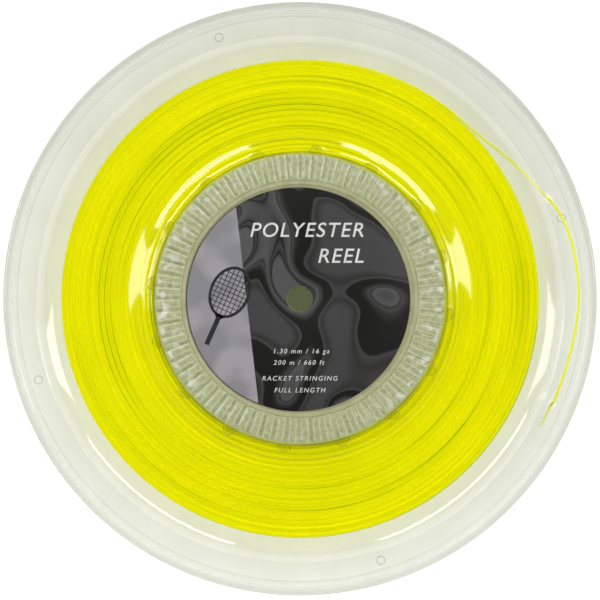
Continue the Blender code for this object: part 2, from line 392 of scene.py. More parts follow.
def ramp_node(nodes, links, factor, stops):
    node = nodes.new("ShaderNodeValToRGB")
    elements = node.color_ramp.elements
    while len(elements) < len(stops):
        elements.new(0.5)
    for element, (position, colour) in zip(elements, stops):
        element.position = position
        element.color = (*colour, 1.0)
    links.new(factor, node.inputs[0])
    return node.outputs["Color"]


def bump_node(nodes, links, height, strength, distance):
    node = nodes.new("ShaderNodeBump")
    node.inputs["Strength"].default_value = strength
    node.inputs["Distance"].default_value = distance
    links.new(height, node.inputs["Height"])
    return node.outputs["Normal"]


def clear_plastic_material(name, tint, edge_tint, roughness=0.05, head_on=0.04, spread=2.5):
    """Thin clear moulding: tinted Transparent under a gloss, both stronger where seen edge-on."""
    material, nodes, links = new_material(name)
    nodes.remove(nodes["Principled BSDF"])
    output = nodes["Material Output"]
    coords = nodes.new("ShaderNodeTexCoord")
    ripple = noise_node(nodes, links, coords.outputs["Object"], 70.0, 2.0)
    normal = bump_node(nodes, links, ripple, 0.05, 0.0003)
    weight = nodes.new("ShaderNodeLayerWeight")
    weight.inputs["Blend"].default_value = 0.5
    facing = weight.outputs["Facing"]
    cloud = noise_node(nodes, links, coords.outputs["Object"], 45.0, 3.0)
    uneven = product(nodes, links, cloud, 0.06)
    depth = math_node(nodes, links, "ADD", math_node(nodes, links, "POWER", facing, spread), uneven)
    see = nodes.new("ShaderNodeBsdfTransparent")
    links.new(mix_node(nodes, links, depth, tint, edge_tint), see.inputs["Color"])
    gloss = nodes.new("ShaderNodeBsdfGlossy")
    gloss.inputs["Color"].default_value = (1.0, 1.0, 1.0, 1.0)
    gloss.inputs["Roughness"].default_value = roughness
    links.new(normal, gloss.inputs["Normal"])
    # Schlick's curve; it treats front and back faces alike, as a thin wall does.
    grazing = product(nodes, links, math_node(nodes, links, "POWER", facing, 5.0), 0.80)
    shine = math_node(nodes, links, "ADD", grazing, head_on)
    mix = nodes.new("ShaderNodeMixShader")
    links.new(shine, mix.inputs[0])
    links.new(see.outputs[0], mix.inputs[1])
    links.new(gloss.outputs[0], mix.inputs[2])
    links.new(mix.outputs[0], output.inputs["Surface"])
    return material


def sage_material(name, low, high, streaks):
    """Clear plastic over the deep hub, which reads as sage: streaked along the radius, glossy on top."""
    material, nodes, links = new_material(name)
    shader = nodes["Principled BSDF"]
    angle, radius, coords = polar_coords(nodes, links)
    combine = nodes.new("ShaderNodeCombineXYZ")
    links.new(product(nodes, links, angle, streaks), combine.inputs[0])
    links.new(product(nodes, links, radius, 90.0), combine.inputs[1])
    streak = noise_node(nodes, links, combine.outputs[0], 1.0, 3.0, 0.6)
    cloud = noise_node(nodes, links, coords, 160.0, 2.0)
    streak_part = product(nodes, links, streak, 0.75)
    both = math_node(nodes, links, "ADD", streak_part, product(nodes, links, cloud, 0.25))
    colour = ramp_node(nodes, links, both, [(0.36, low), (0.64, high)])
    links.new(colour, shader.inputs["Base Color"])
    shader.inputs["Roughness"].default_value = 0.22
    shader.inputs["IOR"].default_value = 1.49
    shader.inputs["Specular IOR Level"].default_value = 0.5
    links.new(bump_node(nodes, links, streak, 0.35, 0.0003), shader.inputs["Normal"])
    return material


def flute_highlight_and_shade_lines(nodes, links, angle, coords):
    """Strength of the two painted highlight streaks on each flute, and of the painted shade line in the
    valley between flutes.
    """
    wobble = product(nodes, links, noise_node(nodes, links, coords, 420.0, 2.0), 1.1)
    phase = math_node(nodes, links, "ADD", product(nodes, links, angle, float(FLUTES)), wobble)
    highlight_streak = math_node(nodes, links, "ABSOLUTE", math_node(nodes, links, "SINE", phase))
    highlight_streak = math_node(nodes, links, "POWER", highlight_streak, 22.0)
    half = product(nodes, links, phase, 0.5)
    valley_shade = math_node(nodes, links, "ABSOLUTE", math_node(nodes, links, "COSINE", half))
    valley_shade = math_node(nodes, links, "POWER", valley_shade, 22.0)
    uneven = range_node(nodes, links, noise_node(nodes, links, coords, 210.0, 2.0), 0.38, 0.62, 0.15, 1.25)
    return highlight_streak, product(nodes, links, valley_shade, uneven)


def painted_glint_strength(nodes, links, angle, radius, coords):
    """Painted glints: soft bright spots in the colour near the ring's outer edge, on its left and right
    sides.
    """
    painted_glint_spot = range_node(nodes, links, noise_node(nodes, links, coords, 300.0, 0.0), 0.55, 0.72, 0.0, 0.58)
    outwards = range_node(nodes, links, radius, 0.0575, 0.0625, 0.25, 1.0)
    side = math_node(nodes, links, "ABSOLUTE", math_node(nodes, links, "COSINE", angle))
    return product(nodes, links, painted_glint_spot, outwards, math_node(nodes, links, "POWER", side, 1.5))


def fluted_material():
    """Sage plastic with two painted highlight streaks and one painted shade line to each flute, painted
    glints near its outer edge and painted shade in places on its outer rim; yellower at its outer edge.
    """
    material, nodes, links = new_material("sage_flutes")
    shader = nodes["Principled BSDF"]
    angle, radius, coords = polar_coords(nodes, links)
    highlight_streak, valley_shade = flute_highlight_and_shade_lines(nodes, links, angle, coords)
    inner = range_node(nodes, links, radius, 0.0544, 0.0553)
    outer = range_node(nodes, links, radius, 0.0658, 0.0648)
    zone = product(nodes, links, inner, outer)
    cloud = noise_node(nodes, links, coords, 480.0, 4.0, 0.7)
    colour = ramp_node(nodes, links, cloud, [(0.32, (0.34, 0.37, 0.19)), (0.68, (0.55, 0.575, 0.33))])
    patchy = product(nodes, links, noise_node(nodes, links, coords, 420.0, 2.0), zone)
    # Painted highlight: two light streaks on each flute.
    lit = product(nodes, links, highlight_streak, patchy, 1.15)
    colour = mix_node(nodes, links, lit, colour, (0.72, 0.75, 0.52))
    # Painted shade: a dark line in each valley between flutes.
    colour = mix_node(nodes, links, product(nodes, links, valley_shade, zone, 0.45), colour, (0.20, 0.24, 0.10))
    # Painted glints near the ring's outer edge.
    painted_glint = product(nodes, links, painted_glint_strength(nodes, links, angle, radius, coords), zone)
    colour = mix_node(nodes, links, painted_glint, colour, (0.93, 0.94, 0.88))
    brim = range_node(nodes, links, radius, 0.0650, 0.0661, 0.0, 0.95)
    colour = mix_node(nodes, links, brim, colour, (0.50, 0.53, 0.06))
    # Painted shade: the outer rim itself is darkened in places, where the two mouldings meet.
    corner = range_node(nodes, links, radius, 0.0660, 0.0665)
    place = range_node(nodes, links, noise_node(nodes, links, coords, 38.0, 3.0), 0.40, 0.60, 0.15, 0.85)
    colour = mix_node(nodes, links, product(nodes, links, corner, place), colour, (0.13, 0.16, 0.04))
    links.new(colour, shader.inputs["Base Color"])
    shader.inputs["Roughness"].default_value = 0.16
    shader.inputs["IOR"].default_value = 1.5
    shader.inputs["Specular IOR Level"].default_value = 0.5
    ripple = noise_node(nodes, links, coords, 900.0, 2.0)
    links.new(bump_node(nodes, links, ripple, 0.15, 0.0002), shader.inputs["Normal"])
    return material


def string_material(name, stops):
    """Fluorescent monofilament: its tone, which also carries painted shade, varies along its length, its
    edges go green, and a painted glow brightens it.
    """
    material, nodes, links = new_material(name)
    shader = nodes["Principled BSDF"]
    tone = nodes.new("ShaderNodeAttribute")
    tone.attribute_name = "tone"
    coords = nodes.new("ShaderNodeTexCoord")
    cloud = noise_node(nodes, links, coords.outputs["Object"], 60.0, 2.0)
    tone_part = product(nodes, links, tone.outputs["Fac"], 0.9)
    both = math_node(nodes, links, "ADD", tone_part, product(nodes, links, cloud, 0.1))
    colour = ramp_node(nodes, links, both, stops)
    weight = nodes.new("ShaderNodeLayerWeight")
    weight.inputs["Blend"].default_value = 0.5
    rim = product(nodes, links, math_node(nodes, links, "POWER", weight.outputs["Facing"], 1.8), 0.40)
    colour = mix_node(nodes, links, rim, colour, (0.40, 0.50, 0.0))
    links.new(colour, shader.inputs["Base Color"])
    shader.inputs["Roughness"].default_value = 0.34
    shader.inputs["IOR"].default_value = 1.45
    shader.inputs["Specular IOR Level"].default_value = 0.4
    shader.inputs["Specular Tint"].default_value = (1.0, 1.0, 0.06, 1.0)
    # Painted glow: the emission stands in for the string's fluorescence, but brightens it whatever light
    # falls on it.
    links.new(colour, shader.inputs["Emission Color"])
    shader.inputs["Emission Strength"].default_value = 0.30
    return material


def label_material(name):
    """Satin charcoal print: large marbled folds with contour lines round them."""
    material, nodes, links = new_material(name)
    shader = nodes["Principled BSDF"]
    coords = nodes.new("ShaderNodeTexCoord")
    warp = nodes.new("ShaderNodeTexNoise")
    warp.inputs["Scale"].default_value = 26.0
    warp.inputs["Detail"].default_value = 0.0
    links.new(coords.outputs["Object"], warp.inputs["Vector"])
    bend = nodes.new("ShaderNodeVectorMath")
    bend.operation = "SCALE"
    links.new(warp.outputs["Color"], bend.inputs[0])
    bend.inputs["Scale"].default_value = 0.05
    moved = nodes.new("ShaderNodeVectorMath")
    moved.operation = "ADD"
    links.new(coords.outputs["Object"], moved.inputs[0])
    links.new(bend.outputs[0], moved.inputs[1])
    field = noise_node(nodes, links, moved.outputs[0], 30.0, 0.0)
    black = (0.010, 0.0095, 0.009)
    dark = (0.030, 0.029, 0.028)
    mid = (0.058, 0.056, 0.057)
    grey = (0.092, 0.089, 0.090)
    colour = ramp_node(nodes, links, field, [
        (0.30, mid), (0.36, dark), (0.395, mid), (0.405, black), (0.47, black), (0.50, dark), (0.515, mid),
        (0.53, dark), (0.54, grey), (0.58, mid), (0.59, black), (0.60, mid), (0.615, black), (0.63, grey),
        (0.72, grey), (0.76, dark)])
    links.new(colour, shader.inputs["Base Color"])
    shader.inputs["Roughness"].default_value = 0.42
    shader.inputs["Specular IOR Level"].default_value = 0.25
    grain = noise_node(nodes, links, coords.outputs["Object"], 2600.0, 1.0)
    links.new(bump_node(nodes, links, grain, 0.05, 0.0001), shader.inputs["Normal"])
    return material


def print_material(name, low, high, scale):
    """Flat ink with a faint mottling."""
    material, nodes, links = new_material(name)
    shader = nodes["Principled BSDF"]
    coords = nodes.new("ShaderNodeTexCoord")
    mottle = noise_node(nodes, links, coords.outputs["Object"], scale, 1.0)
    links.new(ramp_node(nodes, links, mottle, [(0.4, low), (0.6, high)]), shader.inputs["Base Color"])
    shader.inputs["Roughness"].default_value = 0.45
    shader.inputs["Specular IOR Level"].default_value = 0.3
    return material


# ------------------------------------------------------------------ string

# The tail's route, as part.py has it: radius, angle in degrees, height above the middle plane.
TAIL_ROUTE = (
    (110.5, 49.5, 5.0),
    (110.7, 46.0, 5.4),
    (112.1, 40.0, 6.4),
    (114.1, 36.0, 7.3),
    (117.1, 30.2, 9.0),
    (119.3, 26.2, 10.2),
    (121.3, 23.2, 11.1),
    (121.95, 22.15, 12.2),
    (122.2, 21.75, 13.4),
    (122.45, 21.4, 14.6),
    (123.2, 20.4, 15.25),
    (125.0, 17.2, 14.97),
    (126.5, 11.5, 14.95),
    (127.0, 4.4, 14.95),
    (126.9, -1.5, 14.95),
    (126.0, -8.1, 14.95),
    (125.1, -15.1, 14.97),
    (124.75, -21.2, 15.25),
    (124.6, -22.25, 14.6),
    (124.5, -22.6, 13.4),
    (124.4, -22.95, 12.2),
    (124.3, -24.0, 11.3),
    (124.3, -26.0, 11.1),
    (124.4, -27.8, 11.0),
)


def polar(radius_mm, angle_deg, height_mm):
    angle = math.radians(angle_deg)
    return Vector((radius_mm * math.cos(angle) * MM, radius_mm * math.sin(angle) * MM, height_mm * MM + MID))


def smooth_route(points, parts):
    """A smooth curve through the points, with several parts to each stretch between two of them."""
    ends = [2.0 * points[0] - points[1], *points, 2.0 * points[-1] - points[-2]]
    route = []
    for index in range(1, len(ends) - 2):
        before, start, stop, after = ends[index - 1:index + 3]
        for step in range(parts):
            t = step / parts
            pull = (stop - before) * t
            bend = (2.0 * before - 5.0 * start + 4.0 * stop - after) * t ** 2
            twist = (3.0 * start - before - 3.0 * stop + after) * t ** 3
            route.append(start + 0.5 * (pull + bend + twist))
    route.append(points[-1])
    return route


def tube_mesh(name, route, diameter, sides, tones):
    """A round tube along a route of points. tones has a value for each point and each of its sides."""
    points = np.array([tuple(point) for point in route])
    tangents = np.gradient(points, axis=0)
    tangents /= np.linalg.norm(tangents, axis=1)[:, None]
    up = np.array([0.0, 0.0, 1.0])
    side = np.cross(tangents, up)
    side /= np.linalg.norm(side, axis=1)[:, None]
    top = np.cross(side, tangents)
    angles = np.arange(sides) * 2.0 * math.pi / sides
    ring = (
        np.cos(angles)[None, :, None] * side[:, None, :]
        + np.sin(angles)[None, :, None] * top[:, None, :]
    )
    vertices = (points[:, None, :] + ring * diameter / 2.0).reshape(-1, 3)
    count = len(points)
    start = np.arange(count - 1)[:, None] * sides
    index = np.arange(sides)[None, :]
    after = (index + 1) % sides
    quads = np.stack([start + index, start + after, start + sides + after, start + sides + index], axis=-1)
    faces = quads.reshape(-1, 4).tolist()
    faces.append(list(range(sides))[::-1])
    faces.append(list(range((count - 1) * sides, count * sides)))
    item = mesh_object(name, vertices.tolist(), faces, 50.0)
    layer = item.data.attributes.new("tone", "FLOAT", "POINT")
    layer.data.foreach_set("value", tones.ravel().astype(np.float32))
    return item


# The winding: points to a turn, spacing of turns along the barrel, distance at which turns touch, the
# radii of its first and last layers, half its width, and how far its shape is eased along the string.
WIND_SEED = 11
WIND_BINS = 96
WIND_PITCH_MM = 1.40
WIND_CONTACT_MM = 1.30
WIND_CORE_R_MM = 68.05
WIND_END_R_MM = 109.3
WIND_HALF_MM = 7.15
WIND_REST = 13
TUBE_SIDES = 6
PACK_PIECES = 3


def wind_string():
    """Lay the string turn by turn. Each point sits in the lowest groove near the traverse position."""
    rng = np.random.default_rng(WIND_SEED)
    step = 0.05
    count = int(round((2.0 * WIND_HALF_MM + 0.4) / step)) + 1
    grid = np.linspace(-WIND_HALF_MM - 0.2, WIND_HALF_MM + 0.2, count)
    step = grid[1] - grid[0]
    surface = np.full((WIND_BINS, count), WIND_CORE_R_MM)
    window = int(0.5 / step)
    z = -WIND_HALF_MM
    lying = z
    direction = 1.0
    limit = WIND_HALF_MM
    rate = WIND_PITCH_MM
    hold = 0
    route = []
    index = 0
    while True:
        column = surface[index % WIND_BINS]
        if index % WIND_BINS == 0:
            rate = WIND_PITCH_MM * (1.0 + 0.10 * rng.standard_normal())
        if hold > 0:
            hold -= 1
        else:
            z += direction * rate / WIND_BINS
            if z * direction > limit:
                z = direction * limit
                direction = -direction
                limit = WIND_HALF_MM - abs(rng.normal(0.0, 0.20))
                hold = int(WIND_BINS * rng.uniform(0.6, 1.1))
        here = int(round((z - grid[0]) / step))
        low = max(here - window, 0)
        high = min(here + window + 1, count)
        slide = (np.arange(low, high) - here) * step
        target = grid[low + int(np.argmin(column[low:high] + 0.25 * slide ** 2))]
        target = min(max(target, -WIND_HALF_MM), WIND_HALF_MM)
        lying += min(max(target - lying, -0.05), 0.05)
        radius = column[int(round((lying - grid[0]) / step))]
        gap = grid - lying
        near = np.abs(gap) < WIND_CONTACT_MM
        column[near] = np.maximum(column[near], radius + np.sqrt(WIND_CONTACT_MM ** 2 - gap[near] ** 2))
        route.append((radius, lying))
        index += 1
        if index % WIND_BINS == 0 and np.median(surface) > WIND_END_R_MM + 0.62 * WIND_CONTACT_MM:
            break
    return np.array(route)


def eased(values, reach):
    """A running average with bell weights, its ends held."""
    spread = np.arange(-3 * reach, 3 * reach + 1)
    weights = np.exp(-0.5 * (spread / reach) ** 2)
    weights /= weights.sum()
    padded = np.concatenate([np.full(3 * reach, values[0]), values, np.full(3 * reach, values[-1])])
    return np.convolve(padded, weights, "valid")


# Painted shade in the gaps between turns: rows a string apart outwards, each with knots round the pack. The
# string's own tone has a knot every TONE_SPAN points.
GAP_ROWS = 36
GAP_KNOTS = 9
GAP_LOW_R_MM = 66.0
TONE_SPAN = 45


def painted_gap_shade(table, radii, angles):
    """Painted shade of the gap at each place, from a table of rows and knots, blended between both."""
    row = np.clip((radii - GAP_LOW_R_MM) / STRING_D_MM, 0.0, GAP_ROWS - 1.001)
    low = row.astype(int)
    share = row - low
    turn = (angles / (2.0 * math.pi) * GAP_KNOTS) % GAP_KNOTS
    knot = np.minimum(turn.astype(int), GAP_KNOTS - 1)
    along = turn - knot
    after = (knot + 1) % GAP_KNOTS
    here = table[low, knot] * (1.0 - along) + table[low, after] * along
    there = table[low + 1, knot] * (1.0 - along) + table[low + 1, after] * along
    return here * (1.0 - share) + there * share


def winding_tones_and_shade(radii, heights, angles):
    """Slow changes of tone along the string, and painted shade in the gaps beside it that comes and goes
    over long arcs.
    """
    rng = np.random.default_rng(WIND_SEED + 1)
    count = len(radii)
    body_knots = 0.66 + 0.34 * rng.random(count // TONE_SPAN + 3)
    body = np.interp(np.arange(count) / TONE_SPAN, np.arange(len(body_knots)), body_knots)
    table = np.clip(1.45 * rng.random((GAP_ROWS, GAP_KNOTS)) ** 1.7, 0.0, 1.0)
    table[1::2] *= 0.35
    half = STRING_D_MM / 2.0
    beyond = painted_gap_shade(table, radii + half, angles)
    within = painted_gap_shade(table, radii - half, angles)
    tones = np.repeat(body[:, None], TUBE_SIDES, axis=1)
    # Side 0 faces the axis and side 3 faces outwards.
    # Painted shade: each side that faces a gap between turns is darkened by that gap's shade.
    tones[:, 0] = body * (1.0 - within)
    tones[:, 3] = body * (1.0 - beyond)
    for side in (1, 5):
        tones[:, side] = body * (1.0 - 0.25 * within)
    for side in (2, 4):
        tones[:, side] = body * (1.0 - 0.25 * beyond)
    # Painted shade: the outermost layer is darker on its outward sides, apart from its last half turn, which
    # meets the tail.
    shaded_outer_layer = radii > WIND_END_R_MM - 0.9
    shaded_outer_layer[-WIND_BINS // 2:] = False
    tones[shaded_outer_layer, 3] = 0.42 * body[shaded_outer_layer]
    shaded_outer_layer &= np.abs(heights) < WIND_HALF_MM - 0.8
    tones[shaded_outer_layer, 2] = 0.10
    tones[shaded_outer_layer, 4] = 0.10
    return tones


def build_winding(material):
    route = wind_string()
    radii = eased(np.minimum(route[:, 0], WIND_END_R_MM), WIND_REST)
    heights = eased(route[:, 1], WIND_REST)
    count = len(radii)
    # The last turn climbs onto the pack and meets the tail, winding clockwise seen from the front.
    climb = WIND_BINS // 6
    ride = np.clip((np.arange(count) - (count - 1 - climb)) / climb, 0.0, 1.0)
    ride = ride * ride * (3.0 - 2.0 * ride)
    radii = radii + (TAIL_ROUTE[0][0] - radii) * ride
    heights = heights + (TAIL_ROUTE[0][2] - heights) * ride
    angles = math.radians(TAIL_ROUTE[0][1]) + 2.0 * math.pi * (count - 1 - np.arange(count)) / WIND_BINS
    points = np.stack([
        radii * np.cos(angles) * MM,
        radii * np.sin(angles) * MM,
        heights * MM + MID,
    ], axis=1)
    length = float(np.linalg.norm(np.diff(points, axis=0), axis=1).sum())
    print("winding length %.2f m, %.1f turns" % (length, count / WIND_BINS))
    tones = winding_tones_and_shade(radii, heights, angles)
    cuts = [round(count * part / PACK_PIECES) for part in range(PACK_PIECES + 1)]
    for part in range(PACK_PIECES):
        span = slice(cuts[part], min(cuts[part + 1] + 1, count))
        name = "string_pack_%d" % (part + 1)
        item = tube_mesh(name, points[span], STRING_D_MM * MM, TUBE_SIDES, tones[span])
        finish_piece(item, material, "string_polymer", "string_winding")


# How the tail shades from point to point of its route: 0 shadowed, 0.5 plain, 1 pale behind the plastic.
TAIL_TONES = (
    0.64, 0.64, 0.64, 0.65, 0.67, 0.74, 0.86, 0.8, 0.36, 0.42, 0.48, 0.5,
    0.5, 0.5, 0.5, 0.5, 0.48, 0.45, 0.32, 0.1, 0.3, 0.8, 0.95, 1.0,
)


def build_tail(material):
    route = smooth_route([polar(*point) for point in TAIL_ROUTE], 4)
    tones = np.interp(np.arange(len(route)) / 4.0, np.arange(len(TAIL_TONES)), TAIL_TONES)
    tones = np.repeat(tones[:, None], 12, axis=1)
    item = tube_mesh("string_tail_end", route, STRING_D_MM * MM, 12, tones)
    finish_piece(item, material, "string_polymer", "string_tail")


# ------------------------------------------------------------------ flanges

# The flange in millimetres: heights of its faces, outer radius, wall, and how fast its flare curves up.
SEAT = 12.1
WEB = 9.7
CHANNEL = 14.2
RIM_TOP = 16.0
RIM_R = 135.0
UNDER = 12.6
WALL = 1.5
FLARE = 0.038

# The two string holes (radius, angle in degrees) and the four round marks in the channel.
TAIL_HOLES = ((122.2, 21.75), (124.5, -22.6))
TAIL_HOLE_R_MM = 1.95
MARK_COUNT = 4
MARK_CIRCLE_R_MM = 124.7
MARK_FIRST_DEG = 17.2
MARK_R_MM = 1.85
MARK_DEPTH_MM = 0.5
ABOVE_RIM_MM = 17.0
BELOW_WEB_MM = 9.0

# Fall of the flange's top face outwards from the hub seat: radius, then slope. A small step, a
# ledge, the main shoulder, and a long sweep into the web.
SHOULDER = (
    (68.2, 0.0), (68.5, 0.30), (69.5, 0.36), (69.9, 0.05), (71.0, 0.05), (72.1, 0.25), (73.9, 0.37),
    (74.6, 0.30), (75.3, 0.26), (81.6, 0.0),
)


def shoulder_height(radius):
    """Height of the flange's top face between the hub seat and the web."""
    places = np.linspace(SHOULDER[0][0], SHOULDER[-1][0], 691)
    slopes = np.interp(places, [point[0] for point in SHOULDER], [point[1] for point in SHOULDER])
    falls = np.concatenate([[0.0], np.cumsum((slopes[1:] + slopes[:-1]) / 2.0 * np.diff(places))])
    return SEAT - (SEAT - WEB) * float(np.interp(radius, places, falls / falls[-1]))


def flange_points():
    """The flange's closed section: top face outwards to the rim bead, then the underside back inwards."""
    outer = [(67.2, SEAT), (67.9, SEAT)]
    for radius in [*np.arange(68.2, 76.0, 0.2), *np.arange(76.2, 83.4, 0.5)]:
        outer.append((float(radius), shoulder_height(radius)))
    for radius in np.arange(86.0, 108.0, 6.0):
        outer.append((float(radius), WEB))
    for radius in np.arange(109.4, 118.3, 0.6):
        outer.append((float(radius), WEB + FLARE * (radius - 109.4) ** 2))
    outer += [
        (118.9, 13.16), (119.5, 13.60), (120.0, 13.94), (120.3, 14.09), (120.55, 14.17), (120.8, CHANNEL),
        (121.1, CHANNEL), (126.0, CHANNEL), (130.3, CHANNEL), (130.7, CHANNEL),
        (131.2, 14.28), (131.7, 14.55), (132.1, 15.0), (132.4, 15.5), (132.7, 15.85),
        (133.1, RIM_TOP), (134.3, RIM_TOP), (134.7, 15.88), (134.92, 15.6),
    ]
    inner = [
        (RIM_R, 15.2), (RIM_R, 13.0), (134.8, 12.7), (134.5, UNDER), (134.1, UNDER), (121.9, UNDER),
        (121.6, UNDER), (121.0, 12.5), (120.4, 12.25),
    ]
    for radius in np.arange(119.8, 110.0, -0.7):
        inner.append((float(radius), WEB - WALL + FLARE * (radius - 110.0) ** 2))
    for radius in np.arange(104.0, 83.0, -6.0):
        inner.append((float(radius), WEB - WALL))
    for radius in np.arange(82.2, 68.7, -0.6):
        inner.append((float(radius), shoulder_height(radius + 0.5) - WALL))
    inner += [(67.9, SEAT - WALL), (67.2, SEAT - WALL)]
    return outer + inner


def lug_nearness(angle):
    """1 at the middle of a lug, falling to 0 between lugs."""
    pitch = 2.0 * math.pi / LUGS
    offset = (angle - math.radians(LUG_FIRST_DEG) + pitch / 2.0) % pitch - pitch / 2.0
    return math.exp(-(math.degrees(offset) / 3.6) ** 2)


def shoulder_wave(radii, heights, angle):
    """Push the seat's edge outwards round each lug, which makes the wavy edge near the hub."""
    grip = np.clip((radii - 67.4) / 0.8, 0.0, 1.0) * np.clip((71.9 - radii) / 2.0, 0.0, 1.0)
    return radii + 0.8 * lug_nearness(angle) * grip, heights


def mark_centres():
    turns = [math.radians(MARK_FIRST_DEG + 360.0 / MARK_COUNT * mark) for mark in range(MARK_COUNT)]
    return [(MARK_CIRCLE_R_MM * math.cos(turn), MARK_CIRCLE_R_MM * math.sin(turn)) for turn in turns]


def build_flange(name, node, material, over):
    item = turned(name, flange_points(), 512, shoulder_wave, over)
    sign = -1.0 if over else 1.0
    holes = []
    for radius, angle_deg in TAIL_HOLES:
        angle = math.radians(angle_deg)
        holes.append((radius * math.cos(angle), radius * math.sin(angle), TAIL_HOLE_R_MM, BELOW_WEB_MM))
    for x, y in mark_centres():
        holes.append((x, y, MARK_R_MM, CHANNEL - MARK_DEPTH_MM))
    cylinders = []
    for x, y, radius, bottom in holes:
        low, high = sorted((sign * bottom, sign * ABOVE_RIM_MM))
        cylinders.append((x, sign * y, radius, low, high))
    cut(item, cylinders)
    finish_piece(item, material, "clear_plastic", node)


def build_marks(name, material):
    """Thin raised rims round the four round marks in the front channel, as one piece."""
    section = ((1.62, 14.19), (1.68, 14.27), (1.86, 14.30), (2.02, 14.27), (2.08, 14.19))
    steps = 32
    size = len(section)
    vertices = []
    faces = []
    for centre in mark_centres():
        base = len(vertices)
        for step in range(steps):
            angle = 2.0 * math.pi * step / steps
            for radius, height in section:
                x = centre[0] + radius * math.cos(angle)
                y = centre[1] + radius * math.sin(angle)
                vertices.append(placed(x, y, height, False))
        for step in range(steps):
            faces.extend(band(base + step * size, base + (step + 1) % steps * size, size))
    finish_piece(mesh_object(name, vertices, faces, 60.0), material, "clear_plastic")


# ------------------------------------------------------------------ hub

RING_CREST_MM = 15.32
FLUTE_DEPTH_MM = 0.9


def ring_points():
    """The ring's closed section, with a crown that falls slowly outwards."""
    outer = [(54.1, 14.5), (54.2, 14.85), (54.5, 15.08), (54.9, 15.2), (55.4, 15.28), (56.0, RING_CREST_MM)]
    for radius in np.arange(56.8, 64.6, 0.8):
        outer.append((float(radius), RING_CREST_MM - 0.42 * ((radius - 56.0) / 8.4) ** 2))
    outer += [(65.0, 14.8), (65.5, 14.62), (66.0, 14.38), (66.45, 14.05), (66.72, 13.75), (66.8, 13.5)]
    inner = [(66.8, 11.2), (63.6, 11.2), (63.6, 12.5), (54.1, 12.5)]
    return outer + inner


# Depth of each valley between flutes, as a share of the full depth. The valleys are shallow on the side
# that faces the label's foot.
VALLEY_ROLL = np.random.default_rng(23).uniform(0.45, 1.15, FLUTES)
VALLEY_TURN = 2.0 * math.pi * np.arange(FLUTES) / FLUTES
VALLEY_DEPTHS = VALLEY_ROLL * (1.0 - 0.62 * np.exp(-((VALLEY_TURN - 1.5 * math.pi) / 0.62) ** 2))


def flute_lift(radii, heights, angle):
    """Rounded ridges with sharp valleys, closed off at the ring's inner and outer edges."""
    ridge = abs(math.sin(angle * FLUTES / 2.0)) ** 0.6
    depth = FLUTE_DEPTH_MM * VALLEY_DEPTHS[int(round(angle * FLUTES / (2.0 * math.pi))) % FLUTES]
    window = np.clip((radii - 54.3) / 1.1, 0.0, 1.0) * np.clip((66.4 - radii) / 1.1, 0.0, 1.0)
    window = window * window * (3.0 - 2.0 * window)
    on_top = heights > 12.9
    return radii, heights - depth * (1.0 - ridge) * window * on_top


def build_ring(name, node, material, over):
    item = turned(name, ring_points(), FLUTES * 12, flute_lift, over)
    finish_piece(item, material, "hub_plastic", node)


LUG_POINTS = 17
LUG_R_MM = 3.3

# A lug's sides and softened top edge: share of its full outline, then height.
LUG_LEVELS = ((1.0, 12.3), (1.0, 12.7), (0.985, 12.98), (0.95, 13.2), (0.88, 13.35), (0.78, 13.4))


def lug_outline(scale):
    """A half circle that bulges outwards from the ring's edge, as distances along and across the radius."""
    points = []
    for part in range(LUG_POINTS):
        angle = math.pi * (part / (LUG_POINTS - 1.0) - 0.5)
        along = 66.6 + (0.5 + LUG_R_MM * math.cos(angle)) * scale
        points.append((along, LUG_R_MM * math.sin(angle) * scale))
    return points


def build_lugs(name, material, over):
    """Sixteen half-round lugs with softened top edges, as one piece."""
    vertices = []
    faces = []
    for lug in range(LUGS):
        turn = math.radians(LUG_FIRST_DEG + 360.0 * lug / LUGS)
        base = len(vertices)
        for scale, height in LUG_LEVELS:
            for along, across in lug_outline(scale):
                x = along * math.cos(turn) - across * math.sin(turn)
                y = along * math.sin(turn) + across * math.cos(turn)
                vertices.append(placed(x, y, height, over))
        top = base + (len(LUG_LEVELS) - 1) * LUG_POINTS
        faces.append(list(range(base, base + LUG_POINTS))[::-1])
        for here in range(base, top, LUG_POINTS):
            faces.extend(level_faces(here, here + LUG_POINTS, LUG_POINTS))
        faces.append(list(range(top, top + LUG_POINTS)))
    finish_piece(mesh_object(name, vertices, faces), material, "hub_plastic")


def build_plate(name, node, material, over):
    profile = rounded([
        (7.6, 14.0), (52.1, 14.0), (52.4, 14.9), (53.6, 14.9), (54.3, 14.45), (54.3, 12.2), (7.6, 12.2),
    ], {2: 0.25, 3: 0.2})
    finish_piece(turned(name, profile, 256, None, over), material, "hub_plastic", node)


def build_tube(material):
    profile = rounded([(5.5, 14.0), (7.3, 14.0), (7.3, -14.0), (5.5, -14.0)], {0: 0.3, 3: 0.3})
    finish_piece(turned("spindle_sleeve", profile, 96), material, "hub_plastic", "spindle_tube")


def build_barrel(material):
    profile = [(64.9, 10.8), (66.9, 10.8), (66.9, -10.8), (64.9, -10.8)]
    item = turned("core_sleeve", profile, 256)
    finish_piece(item, material, "hub_plastic", "core_barrel")


# ------------------------------------------------------------------ labels

LABEL_TOP_MM = 14.35
LABEL_CENTRE_MM = (-0.8, -0.2)
LABEL_HOLE_CENTRE_MM = (-0.3, 0.0)
LABEL_STEPS = 192
INK_MM = 0.012

# The label's rings, round its section: radius, centre, height.
LABEL_RINGS = (
    (51.0, LABEL_CENTRE_MM, 14.10),
    (51.0, LABEL_CENTRE_MM, 14.31),
    (50.9, LABEL_CENTRE_MM, LABEL_TOP_MM),
    (6.25, LABEL_HOLE_CENTRE_MM, LABEL_TOP_MM),
    (6.15, LABEL_HOLE_CENTRE_MM, 14.31),
    (6.15, LABEL_HOLE_CENTRE_MM, 14.10),
)


